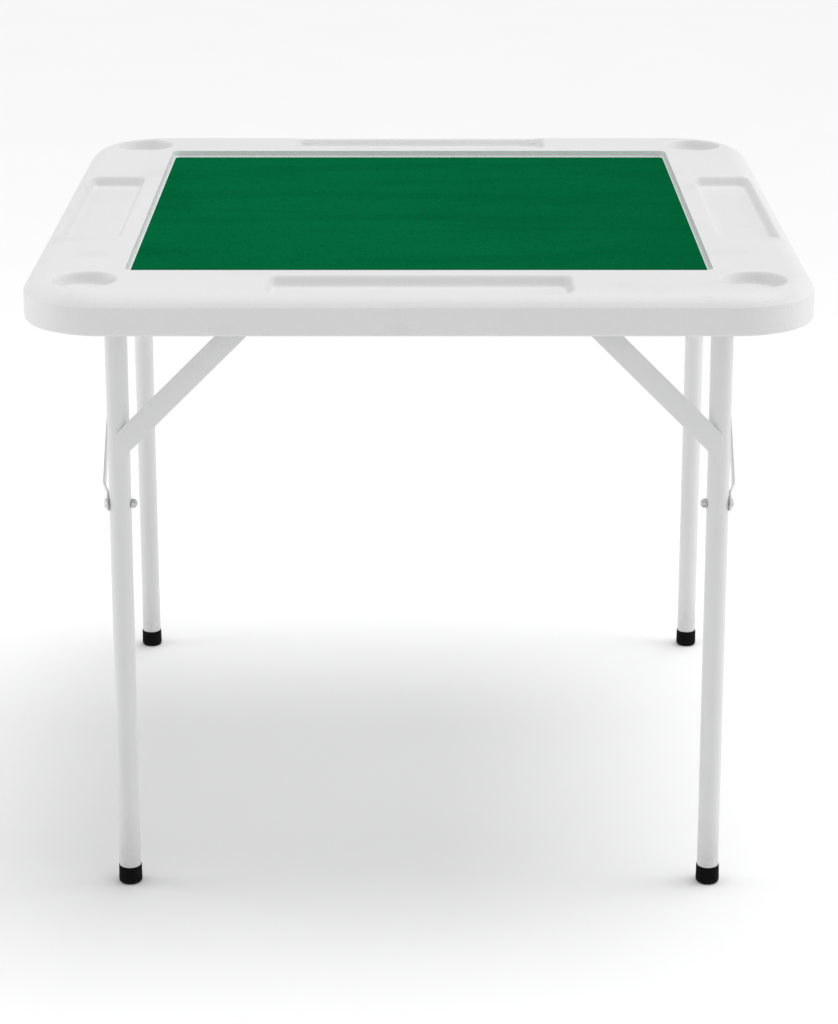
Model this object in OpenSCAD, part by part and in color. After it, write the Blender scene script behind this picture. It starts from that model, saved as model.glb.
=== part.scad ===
// Square folding game table. A hollow moulded top carries a baize playing square, a cup well in
// each corner and a tray along each side. Two tubular leg frames fold flat into the underside,
// the narrow front one inside the wide back one, each held open by a pair of two-link struts.
// Millimetres, +Z up, origin on the floor under the centre of the top, front of the table at -Y.

/* [Top] */
// Side of the square playing recess
play_side = 656; // [600:2:800]
// Width of the rim round the playing recess
rim_w = 112; // [108:1:140]
// Height of the rim above the floor
table_h = 730; // [600:5:750]
// Depth of the outer skirt
skirt_h = 47; // [45:1:60]
// Width of the skirt, across its foot
skirt_w = 22; // [20:1:26]
// Corner radius of the top
corner_r = 95; // [90:1:110]
// Corner radius of the hollow under the top
under_r = 50; // [40:1:52]
// Depth from the rim to the panel under the top
panel_t = 20; // [19:0.5:24]
// Wall of the moulding
skin = 2.5; // [2:0.1:2.8]
// How far the rounded edge reaches in over the rim
edge_reach = 28; // [20:1:32]
// How far the rounded edge falls before the side wall
edge_drop = 15; // [10:1:20]
// Radius at the foot of the skirt
skirt_round = 3; // [1:0.5:5]

/* [Playing surface] */
// Depth from the rim to the baize
play_depth = 8; // [5:0.5:9]
// Corner radius of the playing recess
play_r = 8; // [5:1:20]
// Thickness of the board under the baize
board_t = 2.5; // [2:0.1:3]
// Thickness of the baize
baize_t = 1.2; // [0.8:0.1:2]
// Width of the white edging round the board
edging_w = 1.5; // [1.2:0.1:4]
// How far the edging stands above the baize
edging_proud = 0.4; // [0.1:0.1:1]
// Gap between the edging and the wall of the recess
edging_gap = 0.5; // [0.3:0.1:2]

/* [Trays and cup wells] */
// Length of each tray
tray_l = 340; // [200:5:420]
// Depth of each tray
tray_depth = 13; // [8:0.5:14]
// Corner radius of each tray
tray_r = 14; // [10:1:30]
// How far each tray wall leans in from rim to floor
tray_draft = 5; // [1:0.5:8]
// Rim left between the playing recess and each tray
tray_inner_rim = 22; // [15:1:35]
// Rim left between each tray and the outer edge
tray_outer_rim = 15; // [12:1:25]
// Radius of each cup well at the rim
well_r = 37; // [30:0.5:40]
// Depth of each cup well
well_depth = 14; // [8:0.5:15]
// How far each well wall leans in from rim to floor
well_draft = 5; // [1:0.5:10]
// Distance of each well centre from the playing recess
well_offset = 42; // [41:1:55]

/* [Leg frames] */
// Outer diameter of the legs and crossbars
leg_d = 25; // [20:0.5:32]
// Wall of the tubes
leg_wall = 1.2; // [1:0.1:2]
// Distance of each hinge line from the edge of the top
hinge_inset = 60; // [58:1:100]
// How much nearer the centre each front leg is than the back leg
nest_step = 46; // [40:1:60]
// Outward lean of the front legs in degrees
front_splay = 0.48; // [0:0.02:1]
// Outward lean of the back legs in degrees
back_splay = 0.28; // [0:0.02:0.6]
// How much lower the back hinge line is, so that its braces pass under the folded front legs
back_drop = 0.6; // [0.5:0.1:2]
// Width of each diagonal brace
brace_w = 25; // [15:1:30]
// Thickness of each brace
brace_t = 1.6; // [1.2:0.1:3]
// Distance from the hinge line down to the middle of a brace's lower end
brace_drop = 154; // [100:1:180]
// Height of each foot cap
foot_h = 22; // [18:1:30]
// Rubber round the tube in each foot cap
foot_wall = 1.25; // [1:0.05:2]
// Rubber under the tube in each foot cap
foot_sole = 4; // [3:0.5:6]
// Radius at the lower edge of each foot cap
foot_round = 3; // [1:0.5:4]

/* [Hinges] */
// Diameter of the necked ends of each crossbar
spigot_d = 16; // [12:0.5:18]
// Wall of each nylon bush
bush_wall = 2; // [1.5:0.1:2.5]
// Thickness of each bush's flange
bush_flange_t = 1.2; // [1:0.1:2]
// How far each bush's flange stands out round its body
bush_flange_w = 1.5; // [1:0.1:1.5]
// How far each bush reaches past the rail
bush_tail = 2.2; // [1:0.1:3]
// Thickness of the push-on retaining rings
ring_t = 1; // [0.8:0.1:1.5]
// Width of the retaining rings
ring_w = 3; // [2:0.1:3]

/* [Side rails] */
// Width of each angle rail across its top flange
rail_w = 11; // [10:0.5:12]
// Thickness of the rails and strut brackets
rail_t = 2; // [1.5:0.1:2]
// Room between each rail and the skirt
rail_gap = 1.7; // [1:0.1:4]
// Rail left past each hinge bush
rail_end = 4; // [3:0.5:5]

/* [Struts] */
// Distance from the hinge line to each strut pivot, along the leg and along the underside
strut_reach = 224; // [180:1:240]
// Width of the strut links
link_w = 18; // [14:0.5:19]
// Thickness of the strut links
link_t = 2; // [1.5:0.1:2.5]
// Sideways step in each lower link
link_step = 5; // [4:0.1:6]
// Diameter of the bolts through the legs
bolt_d = 6; // [5:0.5:8]
// Diameter of the rivets
rivet_d = 6; // [5:0.5:7]

/* [Screws] */
// Shank diameter of the screws
screw_d = 4; // [3:0.5:4.5]
// Head diameter of the screws
screw_head_d = 7; // [6:0.5:7.5]
// How deep the screws go into the moulding
screw_bite = 6; // [4:0.5:6.5]

/* [Hidden] */
$fn = 48;
e = 1; // overshoot of a cut past the face it opens
fit = 0.05; // radial clearance of pins, shanks and caps
leg_gap = 0.5; // room between a leg and its lower link
side_gap = 0.3; // room between plates that pass each other
fold_gap = 0.25; // room between a folded foot and the underside
end_float = 0.4; // play of each crossbar between its bushes

play_half = play_side / 2;
top_half = play_half + rim_w;
under_half = top_half - skirt_w;
skirt_z = table_h - skirt_h;
panel_z = table_h - panel_t;
edge_r = (edge_reach * edge_reach + edge_drop * edge_drop) / (2 * edge_drop);

baize_z = table_h - play_depth;
board_z = baize_z - baize_t;
recess_z = board_z - board_t;
edging_half = play_half - edging_gap;
board_half = edging_half - edging_w;
board_r = play_r - edging_gap - edging_w;

tray_w = rim_w - tray_inner_rim - tray_outer_rim;
tray_mid = top_half - tray_outer_rim - tray_w / 2;
well_mid = play_half + well_offset;
vent_r = 4;
vent_y = 60;
tack_pitch = 120;
tack_count = 5;
tack_r = 10;
tack_tip_r = 6;
tack_tip_z = recess_z - 2 * skin;

leg_r = leg_d / 2;
foot_r = leg_r + foot_wall;
hinge_y = top_half - hinge_inset;
front_hinge_z = panel_z - foot_r - fold_gap;
cope = 4; // height at which a leg stops below its crossbar's axis

bush_r = spigot_d / 2 + bush_wall;
rail_x = under_half - rail_gap - rail_w;
rail_len = 2 * (hinge_y + bush_r + rail_end);
rail_bottom_z = front_hinge_z - back_drop - bush_r - rail_t;
rail_chamfer = 16;
rail_screw_x = rail_x + (rail_t + rail_w) / 2;
rail_screw_step = 165;
rail_screw_count = 5;
shoulder_x = rail_x - bush_flange_t - end_float;
neck_l = 6;
bush_end_x = rail_x + rail_t + bush_tail;
ring_x = bush_end_x + end_float;
spigot_end_x = ring_x + 2 * ring_t;

link_stack = leg_gap + link_step + 2 * link_t + 2 * side_gap;
link_l = strut_reach / sqrt(2);
link_step_start = 12;
link_step_end = 22;
bracket_l = 60;
bracket_w = 11;
bracket_ear_r = 12;
bracket_screw_step = 22;
bolt_head_r = 6.5;
bolt_head_h = 3.5;
rivet_head_r = 5.5;
rivet_head_h = 2;
nut_w = 10;
nut_h = 4;
nut_dome_h = 3;
nut_bore = 5;
screw_head_h = 2.4;
boss_r = 6;

white_plastic = [0.93, 0.93, 0.92];
white_enamel = [0.86, 0.87, 0.87];
green_baize = [0.0, 0.38, 0.2];
brown_board = [0.5, 0.38, 0.26];
black_rubber = [0.05, 0.05, 0.05];
zinc = [0.55, 0.56, 0.58];
natural_nylon = [0.9, 0.89, 0.85];

LEFT = -1;
RIGHT = 1;
FRONT = -1;
BACK = 1;

function hinge_z(end) = end == FRONT ? front_hinge_z : front_hinge_z - back_drop;
function splay(end) = end == FRONT ? front_splay : back_splay;
function back_leg_x() = rail_x - link_stack - leg_r - strut_reach * tan(back_splay);
function leg_x(end) = end == FRONT ? back_leg_x() - nest_step : back_leg_x();
// Distance out from the middle of the table to a leg's axis, at a distance below the hinge line
function leg_x_at(end, drop) = leg_x(end) + drop * tan(splay(end));
// Inner face of the lower link where it lies against the leg
function link_x(end) = leg_x_at(end, strut_reach) + leg_r + leg_gap;
function upper_link_x(end) = link_x(end) + link_step + link_t + side_gap;
function bracket_x(end) = upper_link_x(end) + link_t + side_gap;

// ---- shapes used by several pieces ----

module rounded_rect(half_x, half_y, r) {
    square([2 * half_x, 2 * (half_y - r)], center = true);
    square([2 * (half_x - r), 2 * half_y], center = true);
    for (x = [-1, 1], y = [-1, 1])
        translate([x * (half_x - r), y * (half_y - r)])
            circle(r);
}

module slab(half_x, half_y, r, low, high) {
    translate([0, 0, low])
        linear_extrude(high - low)
            rounded_rect(half_x, half_y, r);
}

// A block with rounded corners whose edge has the profile given as children. The profile's x runs
// outwards from the corner centres, so the outline is at x = r, and its y is the height.
module swept_block(half_x, half_y, r, low, high) {
    long_x = half_x - r;
    long_y = half_y - r;
    translate([-long_x, -long_y, low])
        cube([2 * long_x, 2 * long_y, high - low]);
    for (turn = [0, 180])
        rotate([0, 0, turn]) {
            translate([long_x, long_y, 0])
                rotate([90, 0, 0])
                    linear_extrude(2 * long_y)
                        children();
            rotate([0, 0, 90])
                translate([long_y, long_x, 0])
                    rotate([90, 0, 0])
                        linear_extrude(2 * long_x)
                            children();
            translate([long_x, long_y, 0])
                rotate_extrude(angle = 90)
                    children();
            translate([-long_x, long_y, 0])
                rotate([0, 0, 90])
                    rotate_extrude(angle = 90)
                        children();
        }
}

// Edge of the top: foot radius, upright side wall, then the wide rounded edge up to the rim.
// inset takes the same outline inwards for the inside of the moulding.
module edge_profile(inset, low) {
    side = corner_r - inset;
    foot = skirt_round;
    shoulder = table_h - edge_drop;
    square_low = low + foot;
    translate([0, low])
        square([side - foot, square_low - low]);
    translate([0, square_low])
        square([side, shoulder - square_low]);
    translate([side - foot, square_low])
        intersection() {
            circle(foot);
            translate([0, -foot])
                square([foot, foot]);
        }
    intersection() {
        union() {
            translate([corner_r - edge_reach, table_h - edge_r])
                circle(edge_r - inset);
            square([corner_r - edge_reach, table_h - inset]);
        }
        translate([0, shoulder - e])
            square([side, edge_drop + e - inset]);
    }
}

// A round head with its flat at z = 0
module dome(r, h) {
    ball = (r * r + h * h) / (2 * h);
    rotate_extrude()
        intersection() {
            translate([0, h - ball])
                circle(ball);
            square([r, h]);
        }
}

// Turns a piece made along +Z to lie along +X
module along_x() {
    rotate([0, 90, 0])
        children();
}

module mirrored_to(side) {
    mirror([side == LEFT ? 1 : 0, 0, 0])
        children();
}

// A leg frame's own corner: origin on the hinge line, x out to the side, y in under the table, z up
module at_hinge(end, side) {
    translate([0, end * hinge_y, hinge_z(end)])
        mirror([0, end == BACK ? 1 : 0, 0])
            mirrored_to(side)
                children();
}

// Along a leg: origin where its axis meets the hinge line, the leg running down -Z
module at_leg(end, side) {
    at_hinge(end, side)
        translate([leg_x(end), 0, 0])
            rotate([0, -splay(end), 0])
                children();
}

// ---- top ----

module tray_places() {
    for (turn = [0:90:270])
        rotate([0, 0, turn])
            translate([0, -tray_mid, 0])
                children();
}

module well_places() {
    for (x = [-1, 1], y = [-1, 1])
        translate([x * well_mid, y * well_mid, 0])
            children();
}

module tack_places() {
    first = -(tack_count - 1) / 2;
    for (i = [0:tack_count - 1], j = [0:tack_count - 1])
        translate([(first + i) * tack_pitch, (first + j) * tack_pitch, 0])
            children();
}

module rail_screw_places() {
    first = -(rail_screw_count - 1) / 2;
    for (side = [LEFT, RIGHT], i = [0:rail_screw_count - 1])
        translate([side * rail_screw_x, (first + i) * rail_screw_step, panel_z])
            children();
}

module bracket_screw_places() {
    x = bracket_x(FRONT) + rail_t - bracket_w / 2 - rail_t / 2;
    for (side = [LEFT, RIGHT], step = [-1, 1])
        translate([side * x, strut_reach - hinge_y + step * bracket_screw_step, panel_z])
            children();
}

module tray_cut() {
    floor_z = table_h - tray_depth;
    swept_block(tray_l / 2, tray_w / 2, tray_r, floor_z, table_h + e)
        polygon([
            [0, floor_z],
            [tray_r - tray_draft, floor_z],
            [tray_r, table_h],
            [tray_r, table_h + e],
            [0, table_h + e],
        ]);
}

module well_cut() {
    translate([0, 0, table_h - well_depth])
        cylinder(r1 = well_r - well_draft, r2 = well_r, h = well_depth);
    translate([0, 0, table_h - e / 10])
        cylinder(r = well_r, h = e);
}

// The air inside the moulding. Trays, wells, tack-offs and screw posts close its two skins together.
module moulding_air() {
    difference() {
        swept_block(top_half - skin, top_half - skin, corner_r - skin, skirt_z + skin, table_h - skin)
            edge_profile(skin, skirt_z + skin);
        slab(under_half + skin, under_half + skin, under_r + skin, skirt_z, panel_z + skin);
        slab(play_half + skin, play_half + skin, play_r + skin, recess_z - skin, table_h);
        tray_places()
            slab(tray_l / 2 + skin, tray_w / 2 + skin, tray_r + skin, panel_z, table_h);
        well_places()
            translate([0, 0, panel_z])
                cylinder(r = well_r + skin, h = panel_t);
        tack_places()
            translate([0, 0, panel_z])
                cylinder(r = tack_r + skin, h = panel_t);
        rail_screw_places()
            cylinder(r = boss_r, h = skin + screw_bite);
        bracket_screw_places()
            cylinder(r = boss_r, h = skin + screw_bite);
    }
}

module top_moulding() {
    color(white_plastic)
        difference() {
            swept_block(top_half, top_half, corner_r, skirt_z, table_h)
                edge_profile(0, skirt_z);
            slab(under_half, under_half, under_r, skirt_z - e, panel_z);
            slab(play_half, play_half, play_r, recess_z, table_h + e);
            tray_places()
                tray_cut();
            well_places()
                well_cut();
            tack_places()
                translate([0, 0, panel_z])
                    cylinder(r1 = tack_r, r2 = tack_tip_r, h = tack_tip_z - panel_z);
            rail_screw_places()
                cylinder(r = screw_d / 2 + fit, h = screw_bite + fit);
            bracket_screw_places()
                cylinder(r = screw_d / 2 + fit, h = screw_bite + fit);
            moulding_air();
            translate([under_half + skirt_w / 2, vent_y, skirt_z - e])
                cylinder(r = vent_r, h = 2 * skin + e);
        }
}

module playing_board() {
    color(brown_board)
        slab(board_half, board_half, board_r, recess_z, board_z);
}

module board_edging() {
    color(white_plastic)
        difference() {
            slab(edging_half, edging_half, board_r + edging_w, recess_z, baize_z + edging_proud);
            slab(board_half, board_half, board_r, recess_z - e, baize_z + edging_proud + e);
        }
}

module baize() {
    color(green_baize)
        slab(board_half, board_half, board_r, board_z, baize_z);
}

// ---- rails, brackets and hinges under the top ----

module side_rail(side) {
    half = rail_len / 2;
    color(white_enamel)
        mirrored_to(side)
            difference() {
                union() {
                    translate([rail_x, -half, rail_bottom_z])
                        cube([rail_t, rail_len, panel_z - rail_bottom_z]);
                    translate([rail_x, 0, panel_z - rail_t])
                        linear_extrude(rail_t)
                            polygon([
                                [0, -half],
                                [rail_t, -half],
                                [rail_w, rail_chamfer - half],
                                [rail_w, half - rail_chamfer],
                                [rail_t, half],
                                [0, half],
                            ]);
                }
                for (end = [FRONT, BACK])
                    translate([rail_x - e, end * hinge_y, hinge_z(end)])
                        along_x()
                            cylinder(r = bush_r + fit, h = rail_t + 2 * e);
                translate([rail_x - e, hinge_y - strut_reach, hinge_z(BACK)])
                    along_x()
                        cylinder(r = rivet_d / 2 + fit, h = rail_t + 2 * e);
                rail_screw_places()
                    translate([0, 0, -rail_t - e])
                        cylinder(r = screw_d / 2 + fit, h = rail_t + 2 * e);
            }
}

// A pan-head screw, driven up from the plate that it holds
module screw(plate) {
    rotate([180, 0, 0])
        translate([0, 0, plate])
            dome(screw_head_d / 2, screw_head_h);
    translate([0, 0, -plate])
        cylinder(d = screw_d, h = plate + screw_bite);
}

module rail_screws() {
    color(zinc)
        rail_screw_places()
            screw(rail_t);
}

module bracket_screws() {
    color(zinc)
        bracket_screw_places()
            screw(rail_t);
}

// Angle bracket for a front strut: a flange screwed to the underside, and an ear that takes the pivot
module strut_bracket(side) {
    x = bracket_x(FRONT);
    top = panel_z - front_hinge_z;
    color(white_enamel)
        at_hinge(FRONT, side)
            difference() {
                union() {
                    translate([x + rail_t - bracket_w, strut_reach - bracket_l / 2, top - rail_t])
                        cube([bracket_w, bracket_l, rail_t]);
                    translate([x, strut_reach - bracket_ear_r, 0])
                        cube([rail_t, 2 * bracket_ear_r, top]);
                    translate([x, strut_reach, 0])
                        along_x()
                            cylinder(r = bracket_ear_r, h = rail_t);
                }
                translate([x - e, strut_reach, 0])
                    along_x()
                        cylinder(r = rivet_d / 2 + fit, h = rail_t + 2 * e);
                for (step = [-1, 1])
                    translate([x + (rail_t - bracket_w) / 2, strut_reach + step * bracket_screw_step, top - rail_t - e])
                        cylinder(r = screw_d / 2 + fit, h = rail_t + 2 * e);
            }
}

// Flush on the inside of each upper link, headed on the outside of the bracket or rail
module strut_pivot_rivets() {
    color(zinc)
        for (end = [FRONT, BACK], side = [LEFT, RIGHT])
            at_hinge(end, side)
                translate([upper_link_x(end), strut_reach, 0])
                    along_x() {
                        cylinder(d = rivet_d, h = bracket_x(end) + rail_t - upper_link_x(end));
                        translate([0, 0, bracket_x(end) + rail_t - upper_link_x(end)])
                            dome(rivet_head_r, rivet_head_h);
                    }
}

module hinge_bush(end, side) {
    color(natural_nylon)
        at_hinge(end, side)
            translate([rail_x, 0, 0])
                along_x()
                    difference() {
                        union() {
                            translate([0, 0, -bush_flange_t])
                                cylinder(r = bush_r + bush_flange_w, h = bush_flange_t);
                            cylinder(r = bush_r, h = rail_t + bush_tail);
                        }
                        translate([0, 0, -bush_flange_t - e])
                            cylinder(r = spigot_d / 2 + fit, h = bush_flange_t + rail_t + bush_tail + 2 * e);
                    }
}

// ---- leg frames ----

// A tube across the table with its ends necked down to turn in the bushes
module crossbar(end) {
    inner = leg_r - leg_wall;
    bore = spigot_d / 2 - leg_wall;
    half = [
        [leg_r, shoulder_x - neck_l],
        [spigot_d / 2, shoulder_x],
        [spigot_d / 2, spigot_end_x],
        [bore, spigot_end_x],
        [bore, shoulder_x],
        [inner, shoulder_x - neck_l],
    ];
    other_half = [for (i = [len(half) - 1:-1:0]) [half[i][0], -half[i][1]]];
    color(white_enamel)
        translate([0, end * hinge_y, hinge_z(end)])
            along_x()
                rotate_extrude()
                    polygon(concat(half, other_half));
}

module hinge_rings(end) {
    color(zinc)
        for (side = [LEFT, RIGHT])
            at_hinge(end, side)
                translate([ring_x, 0, 0])
                    along_x()
                        difference() {
                            cylinder(r = spigot_d / 2 + ring_w, h = ring_t);
                            translate([0, 0, -e])
                                cylinder(r = spigot_d / 2 + fit / 2, h = ring_t + 2 * e);
                        }
}

module leg(end, side) {
    bottom = (hinge_z(end) - foot_sole) / cos(splay(end));
    color(white_enamel)
        difference() {
            at_leg(end, side)
                difference() {
                    translate([0, 0, -bottom])
                        cylinder(r = leg_r, h = bottom - cope);
                    translate([0, 0, -bottom - e])
                        cylinder(r = leg_r - leg_wall, h = bottom + e);
                }
            at_hinge(end, side) {
                translate([leg_x(end) - 2 * leg_d, 0, 0])
                    along_x()
                        cylinder(r = leg_r, h = 4 * leg_d);
                translate([leg_x(end), 0, -strut_reach])
                    along_x()
                        cylinder(r = bolt_d / 2 + fit, h = 2 * leg_d, center = true);
            }
        }
}

// A flat strip at 45 degrees, welded across the outer faces of a leg and its crossbar
module brace(end, side) {
    foot_x = leg_x_at(end, brace_drop);
    half_cut = brace_w / sqrt(2);
    top_z = leg_r / 2;
    color(white_enamel)
        at_hinge(end, side)
            translate([0, -leg_r, 0])
                rotate([90, 0, 0])
                    linear_extrude(brace_t)
                        polygon([
                            [foot_x, -brace_drop - half_cut],
                            [foot_x, -brace_drop + half_cut],
                            [foot_x - top_z - brace_drop + half_cut, top_z],
                            [foot_x - top_z - brace_drop - half_cut, top_z],
                        ]);
}

module foot(end, side) {
    bottom = hinge_z(end) / cos(splay(end));
    color(black_rubber)
        difference() {
            at_leg(end, side)
                translate([0, 0, -bottom])
                    difference() {
                        rotate_extrude() {
                            translate([0, -fold_gap])
                                square([foot_r - foot_round, foot_h + fold_gap]);
                            translate([0, foot_round - fold_gap])
                                square([foot_r, foot_h + fold_gap - foot_round]);
                            translate([foot_r - foot_round, foot_round - fold_gap])
                                intersection() {
                                    circle(foot_round);
                                    translate([0, -foot_round])
                                        square(foot_round);
                                }
                        }
                        translate([0, 0, foot_sole])
                            cylinder(r = leg_r + fit, h = foot_h);
                    }
            translate([-top_half, -top_half, -foot_h])
                cube([2 * top_half, 2 * top_half, foot_h]);
        }
}

// Button-head bolt through the lower link and the leg, head outwards
module bolt(end, side) {
    head_x = link_x(end) + link_t;
    tip_x = leg_x_at(end, strut_reach) - leg_r - nut_bore + fit;
    color(zinc)
        at_hinge(end, side)
            translate([0, 0, -strut_reach]) {
                translate([tip_x, 0, 0])
                    along_x()
                        cylinder(d = bolt_d, h = head_x - tip_x);
                translate([head_x, 0, 0])
                    along_x()
                        dome(bolt_head_r, bolt_head_h);
            }
}

// Domed nut on the inner side of the leg
module nut(end, side) {
    color(zinc)
        at_hinge(end, side)
            translate([leg_x_at(end, strut_reach) - leg_r, 0, -strut_reach])
                rotate([0, -90, 0])
                    difference() {
                        union() {
                            cylinder(d = nut_w / cos(30), h = nut_h, $fn = 6);
                            translate([0, 0, nut_h])
                                dome(nut_w / 2 - side_gap, nut_dome_h);
                        }
                        translate([0, 0, -e])
                            cylinder(r = bolt_d / 2 + fit / 2, h = nut_bore + e);
                    }
}

// ---- struts ----

// Outline of a link with round ends, from z = 0 to the link's length
module link_outline() {
    rotate([90, 0, 90])
        linear_extrude(link_step + 2 * link_t) {
            translate([-link_w / 2, 0])
                square([link_w, link_l]);
            for (z = [0, link_l])
                translate([0, z])
                    circle(link_w / 2);
        }
}

// Bolted to the leg, stepped out past the bolt head, then straight to the elbow
module lower_link(end, side) {
    reach = link_l + link_w;
    color(white_enamel)
        at_hinge(end, side)
            translate([link_x(end), 0, -strut_reach])
                rotate([-45, 0, 0])
                    difference() {
                        intersection() {
                            link_outline();
                            rotate([90, 0, 0])
                                linear_extrude(link_w, center = true)
                                    polygon([
                                        [0, -link_w],
                                        [link_t, -link_w],
                                        [link_t, link_step_start],
                                        [link_step + link_t, link_step_end],
                                        [link_step + link_t, reach],
                                        [link_step, reach],
                                        [link_step, link_step_end],
                                        [0, link_step_start],
                                    ]);
                        }
                        translate([-e, 0, 0])
                            along_x()
                                cylinder(r = bolt_d / 2 + fit, h = link_t + 2 * e);
                        translate([link_step - e, 0, link_l])
                            along_x()
                                cylinder(r = rivet_d / 2 + fit / 2, h = link_t + 2 * e);
                    }
}

// Straight strip from the pivot under the top to the elbow, outside the lower link
module upper_link(end, side) {
    color(white_enamel)
        at_hinge(end, side)
            translate([upper_link_x(end), strut_reach, 0])
                rotate([135, 0, 0])
                    difference() {
                        intersection() {
                            link_outline();
                            translate([0, -link_w, -link_w])
                                cube([link_t, 2 * link_w, link_l + 2 * link_w]);
                        }
                        translate([-e, 0, 0])
                            along_x()
                                cylinder(r = rivet_d / 2 + fit, h = link_t + 2 * e);
                        translate([-e, 0, link_l])
                            along_x()
                                cylinder(r = rivet_d / 2 + fit / 2, h = link_t + 2 * e);
                    }
}

// Head and shank of the elbow rivet, which stay with the lower link
module elbow_rivet(end, side) {
    inner_x = link_x(end) + link_step;
    color(zinc)
        at_hinge(end, side)
            translate([inner_x, strut_reach / 2, -strut_reach / 2]) {
                along_x()
                    cylinder(d = rivet_d, h = link_t);
                rotate([0, -90, 0])
                    dome(rivet_head_r, rivet_head_h);
            }
}

// Flush tail of the elbow rivet, which stays with the upper link
module elbow_tail(end, side) {
    color(zinc)
        at_hinge(end, side)
            translate([upper_link_x(end), strut_reach / 2, -strut_reach / 2])
                along_x()
                    cylinder(d = rivet_d, h = link_t);
}

top_moulding();
playing_board();
board_edging();
baize();
side_rail(LEFT);  // side_rail_left
side_rail(RIGHT);  // side_rail_right
rail_screws();
strut_bracket(LEFT);  // strut_bracket_left
strut_bracket(RIGHT);  // strut_bracket_right
bracket_screws();
strut_pivot_rivets();
hinge_bush(FRONT, LEFT);  // hinge_bush_front_left
hinge_bush(FRONT, RIGHT);  // hinge_bush_front_right
hinge_bush(BACK, LEFT);  // hinge_bush_back_left
hinge_bush(BACK, RIGHT);  // hinge_bush_back_right
crossbar(FRONT);  // front_crossbar
leg(FRONT, LEFT);  // front_leg_left
leg(FRONT, RIGHT);  // front_leg_right
brace(FRONT, LEFT);  // front_brace_left
brace(FRONT, RIGHT);  // front_brace_right
foot(FRONT, LEFT);  // front_foot_left
foot(FRONT, RIGHT);  // front_foot_right
bolt(FRONT, LEFT);  // front_bolt_left
bolt(FRONT, RIGHT);  // front_bolt_right
nut(FRONT, LEFT);  // front_nut_left
nut(FRONT, RIGHT);  // front_nut_right
hinge_rings(FRONT);  // front_hinge_rings
crossbar(BACK);  // back_crossbar
leg(BACK, LEFT);  // back_leg_left
leg(BACK, RIGHT);  // back_leg_right
brace(BACK, LEFT);  // back_brace_left
brace(BACK, RIGHT);  // back_brace_right
foot(BACK, LEFT);  // back_foot_left
foot(BACK, RIGHT);  // back_foot_right
bolt(BACK, LEFT);  // back_bolt_left
bolt(BACK, RIGHT);  // back_bolt_right
nut(BACK, LEFT);  // back_nut_left
nut(BACK, RIGHT);  // back_nut_right
hinge_rings(BACK);  // back_hinge_rings
lower_link(FRONT, LEFT);  // lower_link_front_left
lower_link(FRONT, RIGHT);  // lower_link_front_right
lower_link(BACK, LEFT);  // lower_link_back_left
lower_link(BACK, RIGHT);  // lower_link_back_right
upper_link(FRONT, LEFT);  // upper_link_front_left
upper_link(FRONT, RIGHT);  // upper_link_front_right
upper_link(BACK, LEFT);  // upper_link_back_left
upper_link(BACK, RIGHT);  // upper_link_back_right
elbow_rivet(FRONT, LEFT);  // elbow_rivet_front_left
elbow_rivet(FRONT, RIGHT);  // elbow_rivet_front_right
elbow_rivet(BACK, LEFT);  // elbow_rivet_back_left
elbow_rivet(BACK, RIGHT);  // elbow_rivet_back_right
elbow_tail(FRONT, LEFT);  // elbow_tail_front_left
elbow_tail(FRONT, RIGHT);  // elbow_tail_front_right
elbow_tail(BACK, LEFT);  // elbow_tail_back_left
elbow_tail(BACK, RIGHT);  // elbow_tail_back_right
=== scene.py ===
import math

import bmesh
import bpy
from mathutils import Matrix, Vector
from mathutils.geometry import delaunay_2d_cdt


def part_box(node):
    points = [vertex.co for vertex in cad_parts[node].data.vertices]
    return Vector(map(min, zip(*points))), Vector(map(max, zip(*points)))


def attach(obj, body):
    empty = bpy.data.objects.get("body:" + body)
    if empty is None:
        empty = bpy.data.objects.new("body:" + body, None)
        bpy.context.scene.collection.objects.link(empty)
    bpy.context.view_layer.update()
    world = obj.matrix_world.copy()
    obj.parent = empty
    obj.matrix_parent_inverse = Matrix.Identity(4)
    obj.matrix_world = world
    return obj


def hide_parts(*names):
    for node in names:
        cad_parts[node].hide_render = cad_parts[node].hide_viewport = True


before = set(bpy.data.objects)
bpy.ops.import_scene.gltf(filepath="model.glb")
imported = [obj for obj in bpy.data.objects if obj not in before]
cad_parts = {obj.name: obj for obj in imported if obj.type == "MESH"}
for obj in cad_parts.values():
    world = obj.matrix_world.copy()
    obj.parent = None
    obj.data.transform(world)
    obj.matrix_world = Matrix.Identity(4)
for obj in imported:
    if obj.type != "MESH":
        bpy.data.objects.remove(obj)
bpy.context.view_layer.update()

# ---------------------------------------------------------------------------------------------
# Camera: a long lens a little above the table, square on to its front.
# ---------------------------------------------------------------------------------------------
CAMERA_BACK = 3.357
CAMERA_UP = 1.4845
CAMERA_TILT = 0.331
CAMERA_LENS = 97.8

camera = bpy.data.objects.new("camera", bpy.data.cameras.new("camera"))
camera.location = (0, -CAMERA_BACK, CAMERA_UP)
camera.rotation_euler = (math.pi / 2 - CAMERA_TILT, 0, 0)
camera.data.lens = CAMERA_LENS
bpy.context.scene.collection.objects.link(camera)
bpy.context.scene.camera = camera

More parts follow.
